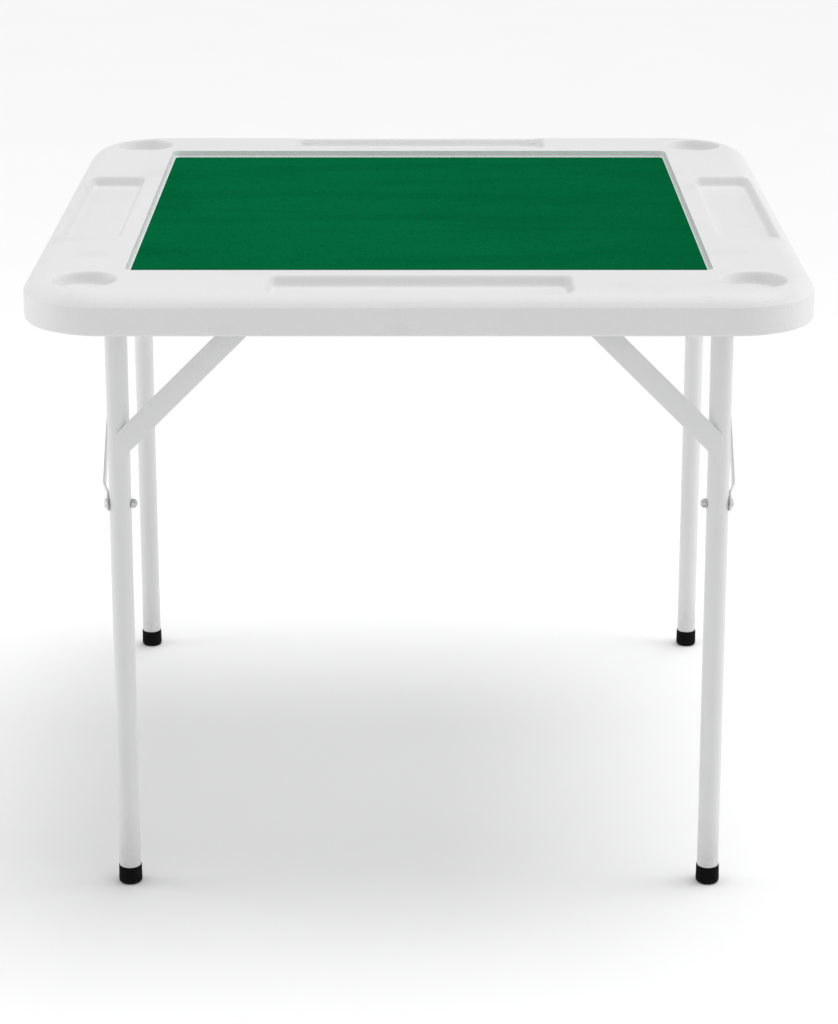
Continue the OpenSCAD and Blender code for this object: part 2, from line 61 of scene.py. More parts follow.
# ---------------------------------------------------------------------------------------------
# The top: one blow-moulded polyethylene shell. It has a rim with a wide rounded edge, a sunk
# playing square, a tray along each side and a cup well in each corner. Rows of tack-offs
# underneath are where the two skins are pinched together in the mould.
# ---------------------------------------------------------------------------------------------
MM = 0.001
TOP_LOW, TOP_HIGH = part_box("top_moulding")
TOP_HALF = TOP_HIGH.x
RIM_Z = TOP_HIGH.z
SKIRT_Z = TOP_LOW.z
CORNER_R = 95 * MM
EDGE_REACH = 28 * MM
EDGE_DROP = 15 * MM
EDGING_GAP = 0.5 * MM
PLAY_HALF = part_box("board_edging")[1].x + EDGING_GAP
PLAY_R = 8 * MM
PLAY_WALL_OUT = 1.6 * MM
PLAY_WALL_IN = 0.3 * MM
PLAY_DEPTH = RIM_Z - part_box("playing_board")[0].z
TRAY_HALF_L = 170 * MM
TRAY_HALF_W = 37.5 * MM
TRAY_INSET = 52.5 * MM
TRAY_MID = TOP_HALF - TRAY_INSET
TRAY_R = 14 * MM
TRAY_DEPTH = 13 * MM
TRAY_LIP = 1.5 * MM
TRAY_WALL = 9.5 * MM
WELL_INSET = 70 * MM
WELL_MID = TOP_HALF - WELL_INSET
WELL_R = 37 * MM
WELL_DEPTH = 14 * MM
WELL_WALL = 9 * MM
TOP_THICK = 20 * MM
PANEL_Z = RIM_Z - TOP_THICK
SKIRT_THICK = 22 * MM
UNDER_HALF = TOP_HALF - SKIRT_THICK
UNDER_R = 50 * MM
TACK_PITCH = 120 * MM
TACK_R = 10 * MM
TACK_FLOOR_R = 5 * MM
TACK_DEPTH = 3.3 * MM
TACKS_OUT = 2  # rows of tack-offs on each side of the middle one
SKIRT_ROUND = 3 * MM
SKIRT_LIP = 2 * MM


class Term:
    """A result inside a node tree. Arithmetic on it adds Math nodes."""

    def __init__(self, writer, socket):
        self.writer = writer
        self.socket = socket

    def output(self, name):
        return Term(self.writer, self.socket.node.outputs[name])

    def math(self, operation, *others):
        return self.writer.math(operation, self, *others)

    def __add__(self, other):
        return self.math("ADD", other)

    def __sub__(self, other):
        return self.math("SUBTRACT", other)

    def __mul__(self, other):
        return self.math("MULTIPLY", other)

    def __truediv__(self, other):
        return self.math("DIVIDE", other)

    def __radd__(self, other):
        return self.writer.math("ADD", other, self)

    def __rsub__(self, other):
        return self.writer.math("SUBTRACT", other, self)

    def __rmul__(self, other):
        return self.writer.math("MULTIPLY", other, self)

    def __neg__(self):
        return self.math("MULTIPLY", -1.0)

    def __abs__(self):
        return self.math("ABSOLUTE")

    def minimum(self, other):
        return self.math("MINIMUM", other)

    def maximum(self, other):
        return self.math("MAXIMUM", other)

    def root(self):
        return self.math("SQRT")


class Writer:
    """Writes one node tree, of a material or of Geometry Nodes."""

    def __init__(self, tree):
        self.tree = tree

    def add(self, kind, settings=None, sockets=None, output=0):
        """Any node: its settings first, then the values or links of its sockets."""
        node = self.tree.nodes.new(kind)
        for name, value in (settings or {}).items():
            setattr(node, name, value)
        for name, value in (sockets or {}).items():
            if isinstance(value, Term):
                self.tree.links.new(value.socket, node.inputs[name])
            else:
                node.inputs[name].default_value = value
        return Term(self, node.outputs[output])

    def math(self, operation, *values):
        return self.add("ShaderNodeMath", {"operation": operation}, dict(enumerate(values)))

    def step(self, value, start, end):
        """0 before start and 1 after end, with a soft S between."""
        sockets = {"Value": value, "From Min": start, "From Max": end}
        return self.add("ShaderNodeMapRange", {"interpolation_type": "SMOOTHERSTEP"}, sockets)

    def mix(self, share, a, b):
        """Colour a at share 0 and b at share 1."""
        a, b = (c if isinstance(c, Term) else (*c, 1) for c in (a, b))
        return self.add("ShaderNodeMix", {"data_type": "RGBA"}, {0: share, 6: a, 7: b}, 2)


class Finish(Writer):
    """A material, with the patterns that the finishes share. Sizes are per metre."""

    def __init__(self, name, constants):
        self.material = bpy.data.materials.new(name)
        self.material.use_nodes = True
        super().__init__(self.material.node_tree)
        self.shader = self.tree.nodes["Principled BSDF"]
        for socket, value in constants.items():
            self.shader.inputs[socket].default_value = value
        self.place = self.add("ShaderNodeTexCoord").output("Object")

    def axis(self, name):
        return self.add("ShaderNodeSeparateXYZ", {}, {"Vector": self.place}).output(name)

    def noise(self, scale, detail=3.0, stretch=(1, 1, 1)):
        place = self.place
        if stretch != (1, 1, 1):
            place = self.add("ShaderNodeMapping", {}, {"Vector": place, "Scale": stretch})
        sockets = {"Vector": place, "Scale": scale, "Detail": detail}
        return self.add("ShaderNodeTexNoise", {}, sockets)

    def cells(self, scale):
        sockets = {"Vector": self.place, "Scale": scale}
        return self.add("ShaderNodeTexVoronoi", {"feature": "SMOOTH_F1"}, sockets)

    def scratches(self, scale, stretch):
        """Short fine marks along one direction: the peaks of a stretched noise."""
        return self.step(self.noise(scale, 2.0, stretch), 0.66, 0.74)

    def finished(self, base, rough, height, strength, deep):
        """Joins the colour, the roughness and the relief to the shader."""
        sockets = {"Height": height, "Strength": strength, "Distance": deep}
        relief = self.add("ShaderNodeBump", {}, sockets)
        for name, value in (("Base Color", base), ("Roughness", rough), ("Normal", relief)):
            self.tree.links.new(value.socket, self.shader.inputs[name])
        return self.material


class Recipe(Writer):
    """A Geometry Nodes tree. size() adds a named input, and build() runs it on a mesh."""

    def __init__(self, name):
        super().__init__(bpy.data.node_groups.new(name, "GeometryNodeTree"))
        self.face = self.tree.interface
        self.face.new_socket("Geometry", in_out="INPUT", socket_type="NodeSocketGeometry")
        self.face.new_socket("Geometry", in_out="OUTPUT", socket_type="NodeSocketGeometry")
        self.entry = self.tree.nodes.new("NodeGroupInput")
        self.values = {}
        self.start = Term(self, self.entry.outputs["Geometry"])

    def size(self, name, value, kind="NodeSocketFloat"):
        self.face.new_socket(name, in_out="INPUT", socket_type=kind)
        self.values[name] = value
        return Term(self, self.entry.outputs[name])

    def place(self):
        point = self.add("GeometryNodeInputPosition")
        parts = self.add("ShaderNodeSeparateXYZ", {}, {"Vector": point})
        return [parts.output(axis) for axis in "XYZ"]

    def raised(self, x, y, z):
        place = self.add("ShaderNodeCombineXYZ", {}, {"X": x, "Y": y, "Z": z})
        return self.add("GeometryNodeSetPosition", {}, {"Geometry": self.start, "Position": place})

    def build(self, name, mesh, geometry, material, crease=40):
        """Ends the tree, runs it on a mesh and returns the plain piece that it makes."""
        whole = self.add("GeometryNodeRealizeInstances", {}, {"Geometry": geometry})
        whole = self.add("GeometryNodeSetMaterial", {}, {"Geometry": whole, "Material": material})
        end = self.tree.nodes.new("NodeGroupOutput")
        self.tree.links.new(whole.socket, end.inputs["Geometry"])
        maker = bpy.data.objects.new(name + "_maker", mesh)
        bpy.context.scene.collection.objects.link(maker)
        modifier = maker.modifiers.new("recipe", "NODES")
        modifier.node_group = self.tree
        for item in self.face.items_tree:
            if item.in_out == "INPUT" and item.name in self.values:
                modifier[item.identifier] = self.values[item.name]
        bpy.context.view_layer.update()
        ready = maker.evaluated_get(bpy.context.evaluated_depsgraph_get())
        made = bpy.data.meshes.new_from_object(ready)
        bpy.data.objects.remove(maker)
        return piece(name, made, material, crease)


def piece(name, mesh, material, crease=40):
    """An object at the origin with that mesh, in that material, smooth up to the crease angle."""
    obj = bpy.data.objects.new(name, mesh)
    bpy.context.scene.collection.objects.link(obj)
    mesh.name = name
    mesh.materials.clear()
    mesh.materials.append(material)
    mesh.polygons.foreach_set("use_smooth", [True] * len(mesh.polygons))
    mesh.set_sharp_from_angle(angle=math.radians(crease))
    return obj


def rounded(half_x, half_y, r, out=0.0, along=24, corner=20):
    """Points round a rounded rectangle, moved outwards by out."""
    corners = [(1, 1), (-1, 1), (-1, -1), (1, -1)]
    arcs = []
    for quarter, (x, y) in enumerate(corners):
        centre = Vector((x * (half_x - r), y * (half_y - r)))
        turns = [math.pi / 2 * (quarter + i / corner) for i in range(corner + 1)]
        arcs.append([centre + Vector((math.cos(a), math.sin(a))) * (r + out) for a in turns])
    points = []
    for arc, following in zip(arcs, arcs[1:] + arcs[:1]):
        points += arc
        points += [arc[-1].lerp(following[0], i / along) for i in range(1, along)]
    return points


def circle(r, around):
    turns = [math.tau * i / around for i in range(around)]
    return [Vector((math.cos(a), math.sin(a))) * r for a in turns]


def moved(ring, x, y):
    return [p + Vector((x, y)) for p in ring]


def plan(rings):
    """A flat mesh of triangles inside the first ring that has every ring of points as edges."""
    points, edges = [], []
    for ring in rings:
        first = len(points)
        points += ring
        edges += [(first + i, first + (i + 1) % len(ring)) for i in range(len(ring))]
    flat, _, faces, *_ = delaunay_2d_cdt(points, edges, [list(range(len(rings[0])))], 1, 1e-6)
    mesh = bpy.data.meshes.new("plan")
    mesh.from_pydata([(p.x, p.y, 0) for p in flat], [], faces)
    return mesh


def joined(name, parts, rings, material, crease=40):
    """One closed skin from open pieces and the strips between rings of points."""
    build = bmesh.new()
    for part in parts:
        build.from_mesh(part.data)
        bpy.data.objects.remove(part)
    rows = [[build.verts.new(p) for p in ring] for ring in rings]
    for upper, lower in zip(rows, rows[1:]):
        for i in range(len(upper)):
            j = (i + 1) % len(upper)
            build.faces.new((upper[i], upper[j], lower[j], lower[i]))
    bmesh.ops.remove_doubles(build, verts=build.verts, dist=2e-5)
    bmesh.ops.recalc_face_normals(build, faces=build.faces)
    mesh = bpy.data.meshes.new(name)
    build.to_mesh(mesh)
    build.free()
    return piece(name, mesh, material, crease)


def past_edge(x, y, half_x, half_y, r):
    """Distance outside a rounded rectangle's edge, below 0 inside it."""
    out_x = abs(x) - (half_x - r)
    out_y = abs(y) - (half_y - r)
    far_x, far_y = out_x.maximum(0.0), out_y.maximum(0.0)
    return (far_x * far_x + far_y * far_y).root() + out_x.maximum(out_y).minimum(0.0) - r


def satin_polyethylene():
    """White moulded plastic: fine leathery grain, faint clouding, handling marks, rubbed spots,
    and painted light that whitens the wall of the playing square.
    """
    f = Finish("satin_polyethylene", {"Specular IOR Level": 0.4})
    cloud = f.noise(5.0, 4.0)
    rubbed = f.step(f.noise(14.0, 6.0), 0.56, 0.72)
    scuffs = f.scratches(60.0, (0.5, 9.0, 9.0)) * f.step(f.noise(6.0), 0.5, 0.7)
    ragged_z = f.axis("Z") + f.noise(40.0) * 0.008
    low_edge = 1.0 - f.step(ragged_z, SKIRT_Z + 2 * MM, SKIRT_Z + 9 * MM)
    base = f.mix(cloud, (0.76, 0.76, 0.765), (0.81, 0.81, 0.81))
    base = f.mix(rubbed * 0.3, base, (0.72, 0.72, 0.71))
    base = f.mix(scuffs * 0.12, base, (0.6, 0.6, 0.59))
    base = f.mix(low_edge * 0.22, base, (0.6, 0.59, 0.57))
    # painted light: the wall of the playing square is painted whiter and a little bluer than the
    # rest of the top
    across = abs(f.axis("X")).maximum(abs(f.axis("Y")))
    recess_painted_light = f.step(-f.axis("Z"), -RIM_Z + 0.3 * MM, -RIM_Z + 1.2 * MM)
    recess_painted_light = recess_painted_light * f.step(-across, -PLAY_HALF - 3.6 * MM, -PLAY_HALF - 2.8 * MM)
    base = f.mix(recess_painted_light, base, (0.95, 0.96, 0.97))
    height = f.cells(480.0) * 0.8 + f.noise(1300.0, 2.0) * 0.35 - scuffs * 0.4
    rough = 0.43 + cloud * 0.08 - rubbed * 0.1
    return f.finished(base, rough, height, 0.5, 0.6 * MM)


moulded_white = satin_polyethylene()

# rings of points, in millimetres out from each edge, close together where the surface bends
EDGE_RINGS = (0, -0.5, -1.2, -3, -5, -8, -11, -14, -17, -20, -23, -26, -29, -32)
PLAY_RINGS = (3.5, 1.8, 1.6, 1.4, 1.2, 1.0, 0.8, 0.6, 0.4, 0.2, 0, -0.2, -0.3, -2.5)
SUNK_RINGS = (3.5, *(1.5 - i * 1.1 for i in range(11)), -11)
rim_rings = [rounded(TOP_HALF, TOP_HALF, CORNER_R, d * MM) for d in EDGE_RINGS]
rim_rings += [rounded(PLAY_HALF, PLAY_HALF, PLAY_R, d * MM, 40, 8) for d in PLAY_RINGS]
for d in SUNK_RINGS:
    long_ring = rounded(TRAY_HALF_L, TRAY_HALF_W, TRAY_R, d * MM, 16, 8)
    well_ring = circle(WELL_R + d * MM, 56)
    for side in (-1, 1):
        rim_rings.append(moved(long_ring, 0, side * TRAY_MID))
        rim_rings.append(moved([Vector((p.y, p.x)) for p in long_ring], side * TRAY_MID, 0))
        rim_rings += [moved(well_ring, side * WELL_MID, y * WELL_MID) for y in (-1, 1)]

rim = Recipe("moulded_rim")
x, y, _ = rim.place()
edge_reach = rim.size("Edge reach", EDGE_REACH)
edge_r = rim.size("Edge radius", (EDGE_REACH**2 + EDGE_DROP**2) / (2 * EDGE_DROP))
run = (edge_reach + past_edge(x, y, TOP_HALF, TOP_HALF, CORNER_R)).maximum(0.0)
crest = rim.size("Rim height", RIM_Z) - edge_r + (edge_r * edge_r - run * run).root()
wide, narrow = abs(x).maximum(abs(y)), abs(x).minimum(abs(y))
in_tray = -past_edge(narrow, wide - TRAY_MID, TRAY_HALF_L, TRAY_HALF_W, TRAY_R)
in_tray = rim.step(in_tray, -TRAY_LIP, TRAY_WALL)
well_x, well_y = abs(x) - WELL_MID, abs(y) - WELL_MID
in_well = rim.size("Well radius", WELL_R) - (well_x * well_x + well_y * well_y).root()
in_well = rim.step(in_well, -TRAY_LIP, WELL_WALL)
in_play = -past_edge(x, y, PLAY_HALF, PLAY_HALF, PLAY_R)
in_play = rim.step(in_play, -PLAY_WALL_OUT, PLAY_WALL_IN)
z = crest + (RIM_Z - rim.size("Tray depth", TRAY_DEPTH) - crest) * in_tray
z = z - rim.size("Well depth", WELL_DEPTH) * in_well
z = z - rim.size("Playing recess depth", PLAY_DEPTH) * in_play
rim_face = rim.build("rim_face", plan(rim_rings), rim.raised(x, y, z), moulded_white)

TACK_RINGS = (12, 10.5, 9, 7.5, 6, 4.5)
under_rings = [rounded(UNDER_HALF, UNDER_HALF, UNDER_R, -d * MM) for d in (3, 6, 12)]
for i in range(-TACKS_OUT, TACKS_OUT + 1):
    for j in range(-TACKS_OUT, TACKS_OUT + 1):
        for r in TACK_RINGS:
            under_rings.append(moved(circle(r * MM, 24), i * TACK_PITCH, j * TACK_PITCH))

under = Recipe("tacked_panel")
x, y, _ = under.place()
pitch = under.size("Tack-off pitch", TACK_PITCH)
near_x, near_y = (v.math("WRAP", pitch * 0.5, pitch * -0.5) for v in (x, y))
from_tack = (near_x * near_x + near_y * near_y).root()
in_tack = under.step(-from_tack, -TACK_R, -TACK_FLOOR_R)
tacked_half = (TACKS_OUT + 0.5) * TACK_PITCH
tacked = under.step(-abs(x).maximum(abs(y)), -tacked_half - 0.01 * TACK_PITCH, -tacked_half)
in_tack = in_tack * tacked
z = under.size("Panel height", PANEL_Z) + under.size("Tack-off depth", TACK_DEPTH) * in_tack
panel_face = under.build("panel_face", plan(under_rings), under.raised(x, y, z), moulded_white)


def quarter_turn(r, steps):
    """Points from (0, r) to (-r, 0) on a round of radius r that bulges away from (-r, r)."""
    turns = [math.pi / 2 * i / steps for i in range(steps + 1)]
    return [(r * (math.cos(a) - 1), r * (1 - math.sin(a))) for a in turns]


outer = [(0, RIM_Z - EDGE_DROP), (0, RIM_Z - EDGE_DROP - 1.2 * MM), (0, SKIRT_Z + 8 * MM)]
outer += [(out, SKIRT_Z + up) for out, up in quarter_turn(SKIRT_ROUND, 6)]
inner = [(-out, SKIRT_Z + up) for out, up in quarter_turn(SKIRT_LIP, 4)[::-1]]
inner += [(0, SKIRT_Z + 6 * MM), (0, PANEL_Z - 6 * MM)]
inner += [(out, PANEL_Z - up) for out, up in quarter_turn(SKIRT_ROUND, 5)]
skirt = [[(*p, z) for p in rounded(TOP_HALF, TOP_HALF, CORNER_R, out)] for out, z in outer]
skirt += [
    [(*p, z) for p in rounded(UNDER_HALF, UNDER_HALF, UNDER_R, out)] for out, z in inner
]
table_top = joined("table_top", [rim_face, panel_face], skirt, moulded_white, 30)
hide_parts("top_moulding")
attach(table_top, "root")

# ---------------------------------------------------------------------------------------------
# The playing square: a sheet of fibreboard glued into the recess, a thin extruded white edging
# pressed round it, and green wool baize glued down flat inside the edging.
# ---------------------------------------------------------------------------------------------
BAIZE_LOW, BAIZE_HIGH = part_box("baize")
BAIZE_HALF = BAIZE_HIGH.x
BAIZE_R = 6 * MM
EDGING_LOW, EDGING_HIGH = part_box("board_edging")
EDGING_W = EDGING_HIGH.x - BAIZE_HALF


def fibreboard():
    """Brown pressed fibre: flecked, matt and slightly fuzzy."""
    f = Finish("fibreboard", {"Specular IOR Level": 0.25})
    fleck = f.noise(420.0, 5.0)
    base = f.mix(fleck, (0.16, 0.1, 0.055), (0.34, 0.23, 0.13))
    base = f.mix(f.step(f.noise(30.0), 0.5, 0.8) * 0.4, base, (0.12, 0.07, 0.04))
    return f.finished(base, 0.8 + fleck * 0.12, fleck, 0.5, 0.3 * MM)


def green_baize():
    """Short-napped wool cloth: crossed fibres, brushed streaks, and painted shade that darkens it
    towards the right and the front.
    """
    f = Finish("green_baize", {"Specular IOR Level": 0.0})
    warp = f.noise(520.0, 4.0, (1.0, 0.22, 1.0))
    weft = f.noise(520.0, 4.0, (0.22, 1.0, 1.0))
    fluff = f.noise(1700.0, 3.0)
    streak = f.noise(7.0, 5.0, (0.35, 2.4, 1.0))
    mottle = f.noise(9.0, 5.0)
    # painted shade: the cloth is darkened towards the right and the front
    painted_shade = f.step(f.axis("X"), -0.12, BAIZE_HALF) * 0.75
    painted_shade = painted_shade + f.step(-f.axis("Y"), 0.2, BAIZE_HALF) * 0.4
    base = f.mix(mottle, (0.0006, 0.108, 0.034), (0.002, 0.146, 0.05))
    base = f.mix(f.step(streak, 0.46, 0.66) * 0.3, base, (0.0006, 0.092, 0.026))
    base = f.mix(painted_shade * 0.4, base, (0.001, 0.086, 0.024))
    base = f.mix(f.step(fluff, 0.52, 0.72) * 0.3, base, (0.006, 0.24, 0.095))
    base = f.mix(f.step(warp * weft, 0.25, 0.36) * 0.35, base, (0.0004, 0.062, 0.018))
    pills = f.step(f.cells(110.0), 0.1, 0.02) * f.step(f.noise(24.0), 0.52, 0.66)
    height = warp * 0.4 + weft * 0.4 + fluff * 0.3 + pills * 0.3
    return f.finished(base, 0.9 + mottle * 0.08, height, 0.9, 0.7 * MM)


def cloth_skin():
    """Rings of the cloth from its underside, round its soft edge, to the flat of its top."""
    edge = [(-4.0, 0.0), (-0.3, 0.0), (0.0, 0.3), (0.0, 0.75), (-0.15, 1.0), (-0.5, 1.16)]
    rings = []
    for out, up in [*edge, (-1.0, 1.2)]:
        ring = rounded(BAIZE_HALF, BAIZE_HALF, BAIZE_R, out * MM, 60, 6)
        rings.append([(*p, BAIZE_LOW.z + up * MM) for p in ring])
    return rings


board_brown = fibreboard()
cloth_green = green_baize()
cloth_rings = [rounded(BAIZE_HALF, BAIZE_HALF, BAIZE_R, -1 * MM, 60, 6)]
cloth_rings += [rounded(half, half, 3 * MM, 0.0, 60, 2)
                for half in (BAIZE_HALF - (7 + 12 * i) * MM for i in range(26))]
nap = Recipe("laid_cloth")
x, y, _ = nap.place()
lie = {"Vector": nap.add("GeometryNodeInputPosition"), "Scale": 16.0}
lie = nap.add("ShaderNodeTexNoise", {}, lie)
quiet_edge = nap.step(-past_edge(x, y, BAIZE_HALF, BAIZE_HALF, BAIZE_R), 1 * MM, 6 * MM)
z = BAIZE_HIGH.z - nap.size("Unevenness", 0.25 * MM) * lie * quiet_edge
cloth_top = nap.build("cloth_top", plan(cloth_rings), nap.raised(x, y, z), cloth_green)
under_cloth = Recipe("cloth_back")
x, y, _ = under_cloth.place()
cloth_back = under_cloth.build(
    "cloth_back",
    plan([rounded(BAIZE_HALF, BAIZE_HALF, BAIZE_R, -4 * MM, 60, 6)]),
    under_cloth.raised(x, y, under_cloth.size("Height", BAIZE_LOW.z)),
    cloth_green,
)
cloth = joined("playing_cloth", [cloth_top, cloth_back], cloth_skin(), cloth_green, 60)
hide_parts("baize")
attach(cloth, "root")

edging_mid = BAIZE_HALF + EDGING_W / 2
edging_round = EDGING_W / 2
edging_r = BAIZE_R + edging_round
section = [(-edging_round, EDGING_LOW.z), (edging_round, EDGING_LOW.z)]
for turn in [math.pi * i / 8 for i in range(9)]:
    drop = (1 - math.sin(turn)) * edging_round
    section.append((math.cos(turn) * edging_round, EDGING_HIGH.z - drop))
section.append(section[0])
edging_rings = [
    [(*p, z) for p in rounded(edging_mid, edging_mid, edging_r, out, 40, 8)] for out, z in section
]
edging = joined("cloth_edging", [], edging_rings, moulded_white, 50)
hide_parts("board_edging")
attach(edging, "root")

# ---------------------------------------------------------------------------------------------
# Under the top: a pressed-steel angle rail down each side and a bracket for each pair of struts,
# powder coated white and held by zinc-plated cross-head screws driven up into the moulding.
# ---------------------------------------------------------------------------------------------
SCREW_HEAD_R = 3.5 * MM
SCREW_HEAD_H = 2.4 * MM
SCREW_HEAD_EDGE = 0.6 * MM
SHANK_R = 1.9 * MM


def powder_coat():
    """White powder coat on steel: orange peel, faint blotches, scuffs that run along the tubes."""
    gloss = {"Specular IOR Level": 0.5, "Coat Roughness": 0.2, "Coat Weight": 0.15}
    f = Finish("powder_coat", gloss)
    cloud = f.noise(11.0, 4.0)
    scuffs = f.scratches(150.0, (6.0, 6.0, 0.25)) * f.step(f.noise(9.0), 0.5, 0.68)
    near_floor = 1.0 - f.step(f.axis("Z") + f.noise(30.0) * 0.05, 0.03, 0.13)
    dusty = near_floor * f.noise(130.0, 5.0)
    specks = f.step(f.cells(95.0), 0.075, 0.03) * f.step(f.noise(17.0), 0.6, 0.72)
    base = f.mix(cloud, (0.73, 0.735, 0.74), (0.79, 0.79, 0.79))
    base = f.mix(scuffs * 0.3, base, (0.5, 0.5, 0.5))
    base = f.mix(dusty * 0.5, base, (0.48, 0.46, 0.43))
    base = f.mix(specks * 0.6, base, (0.3, 0.29, 0.28))
    height = f.noise(380.0, 2.0) - scuffs * 0.3 - specks * 0.5
    return f.finished(base, 0.36 + cloud * 0.08 + dusty * 0.2, height, 0.3, 0.6 * MM)


def zinc_plate():
    """Dull bright-zinc plating: small spangles, stained and slightly scratched."""
    f = Finish("zinc_plate", {"Metallic": 1.0})
    spangle = f.cells(700.0)
    stain = f.step(f.noise(160.0, 5.0), 0.5, 0.72)
    base = f.mix(spangle, (0.5, 0.51, 0.53), (0.66, 0.66, 0.66))
    base = f.mix(stain * 0.45, base, (0.33, 0.31, 0.28))
    height = spangle * 0.4 + f.noise(1200.0) * 0.3
    return f.finished(base, 0.34 + stain * 0.22 + spangle * 0.08, height, 0.25, 0.2 * MM)


def eased(name, node, body, material, width):
    """The CAD part with its cut edges eased, as pressed and tumbled steel has them."""
    build = bmesh.new()
    build.from_mesh(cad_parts[node].data)
    bmesh.ops.remove_doubles(build, verts=build.verts, dist=2e-6)
    flat = math.radians(1)
    bmesh.ops.dissolve_limit(build, angle_limit=flat, verts=build.verts, edges=build.edges)
    cut = [e for e in build.edges if e.is_manifold and e.calc_face_angle() > math.radians(40)]
    shape = {"segments": 2, "profile": 0.6, "affect": "EDGES", "clamp_overlap": True}
    bmesh.ops.bevel(build, geom=cut, offset=width, **shape)
    mesh = bpy.data.meshes.new(name)
    build.to_mesh(mesh)
    build.free()
    part = piece(name, mesh, material, 25)
    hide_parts(node)
    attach(part, body)


CROSS_ARM = 0.26  # half the width of a cross slot's arm, as a share of its reach


def spread(shape, turn):
    """How far a shape reaches in a direction: round, hexagonal or a cross slot."""
    if shape == "hex":
        return 1 / math.cos(turn % (math.pi / 3) - math.pi / 6)
    if shape == "cross":
        folded = min(turn % (math.pi / 2), -turn % (math.pi / 2))
        at_end = math.tan(folded) < CROSS_ARM
        return 1 / math.cos(folded) if at_end else CROSS_ARM / math.sin(folded)
    return 1.0


def turned(rows, around=48):
    """A closed mesh round Z. Each row is a height, a radius, a shape and the most it may reach."""
    build = bmesh.new()
    rings = []
    turns = [math.tau * (i + 0.5) / around for i in range(around)]
    for height, r, shape, limit in rows:
        ring = []
        for a in turns:
            reach = min(r * spread(shape, a), limit)
            ring.append(build.verts.new((math.cos(a) * reach, math.sin(a) * reach, height)))
        rings.append(ring)
    for lower, upper in zip(rings, rings[1:]):
        for i in range(around):
            j = (i + 1) % around
            build.faces.new((lower[i], lower[j], upper[j], upper[i]))
    build.faces.new(rings[0][::-1])
    build.faces.new(rings[-1])
    bmesh.ops.recalc_face_normals(build, faces=build.faces)
    mesh = bpy.data.meshes.new("turned")
    build.to_mesh(mesh)
    build.free()
    return mesh


def domed(r, height, steps=6):
    """Rows of a low dome from its rim to near its middle."""
    sphere = (r * r + height * height) / (2 * height)
    rows = []
    for i in range(steps):
        reach = r * (1 - i / steps)
        up = height - sphere + math.sqrt(sphere * sphere - reach * reach)
        rows.append((up, reach, "round", 1))
    return rows


def fixings(name, model, places, facing, body, material, seed):
    """One model set at each place. It faces down, outwards or inwards, and is turned at random."""
    sideways, upwards = {"down": (0.0, -1.0), "out": (1.0, 0.0), "in": (-1.0, 0.0)}[facing]
    sample = bpy.data.objects.new("sample", model)
    bpy.context.scene.collection.objects.link(sample)
    recipe = Recipe(name)
    x, _, _ = recipe.place()
    heading = {"X": x * recipe.size("Sideways", sideways), "Z": recipe.size("Upwards", upwards)}
    heading = recipe.add("ShaderNodeCombineXYZ", {}, heading)
    sockets = {"Vector": heading}
    facing_turn = recipe.add("FunctionNodeAlignRotationToVector", {"axis": "Z"}, sockets)
    spin = {2: 0.0, 3: math.tau, "Seed": recipe.size("Seed", seed, "NodeSocketInt")}
    spin = recipe.add("FunctionNodeRandomValue", {"data_type": "FLOAT"}, spin, 1)
    spin = recipe.add("ShaderNodeCombineXYZ", {}, {"Z": spin})
    spin = recipe.add("FunctionNodeEulerToRotation", {}, {"Euler": spin})
    turn = {"Rotation": facing_turn, "Rotate By": spin}
    turn = recipe.add("FunctionNodeRotateRotation", {"rotation_space": "LOCAL"}, turn)
    shown = {"Object": recipe.size("Model", sample, "NodeSocketObject")}
    shown = recipe.add("GeometryNodeObjectInfo", {}, shown).output("Geometry")
    sockets = {"Points": recipe.start, "Instance": shown, "Rotation": turn}
    placed = recipe.add("GeometryNodeInstanceOnPoints", {}, sockets)
    mesh = bpy.data.meshes.new(name + "_places")
    mesh.from_pydata(places, [], [])
    part = recipe.build(name, mesh, placed, material, 30)
    bpy.data.objects.remove(sample)
    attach(part, body)
    return part


enamel = powder_coat()
zinc = zinc_plate()
SIDES = {"left": -1, "right": 1}
for side in SIDES:
    eased(f"angle_rail_{side}", f"side_rail_{side}", "root", enamel, 0.4 * MM)
    eased(f"bracket_{side}", f"strut_bracket_{side}", "root", enamel, 0.4 * MM)


def cross_head():
    """A pan-head screw: a short shank above, the domed head, and a tapering cross slot."""
    rows = [(-4 * MM, SHANK_R, "round", 1), (0, SHANK_R, "round", 1)]
    rows.append((0, SCREW_HEAD_R, "round", 1))
    dome = domed(SCREW_HEAD_R, SCREW_HEAD_H - SCREW_HEAD_EDGE)[:4]
    rows += [(SCREW_HEAD_EDGE + row[0], *row[1:]) for row in dome]
    top = rows[-1][0]
    slot = [(top, 1.6 * MM, "cross", 1), (top - 1 * MM, 1.0 * MM, "cross", 1)]
    return turned(rows + slot, 64)


def screw_places(node, steps):
    """Places of a row of screw heads down each side, from the box of their CAD node."""
    start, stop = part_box(node)
    first, last = start.y + SCREW_HEAD_R, stop.y - SCREW_HEAD_R
    ys = [first + (last - first) * i / (steps - 1) for i in range(steps)]
    x, z = stop.x - SCREW_HEAD_R, start.z + SCREW_HEAD_H
    return [(way * x, y, z) for way in (-1, 1) for y in ys]


for node, steps, seed in (("rail_screws", 5, 3), ("bracket_screws", 2, 8)):
    name, places = f"{node}_driven", screw_places(node, steps)
    screws = fixings(name, cross_head(), places, "down", "root", zinc, seed)
    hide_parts(node)

# ---------------------------------------------------------------------------------------------
# Two leg frames of 25 mm steel tube, powder coated white. The crossbar is necked down at its
# ends to turn in nylon bushes, and its legs and flat diagonal braces are welded to it.
# ---------------------------------------------------------------------------------------------
ENDS = {"front": -1, "back": 1}
LEG_X = {"front": 335.6 * MM, "back": 381.6 * MM}
SPLAY = {"front": math.radians(0.48), "back": math.radians(0.28)}
TUBE_R = 12.5 * MM
LEG_STOP = 4 * MM
BRACE_W = 25 * MM
BEAD_R = 1.25 * MM


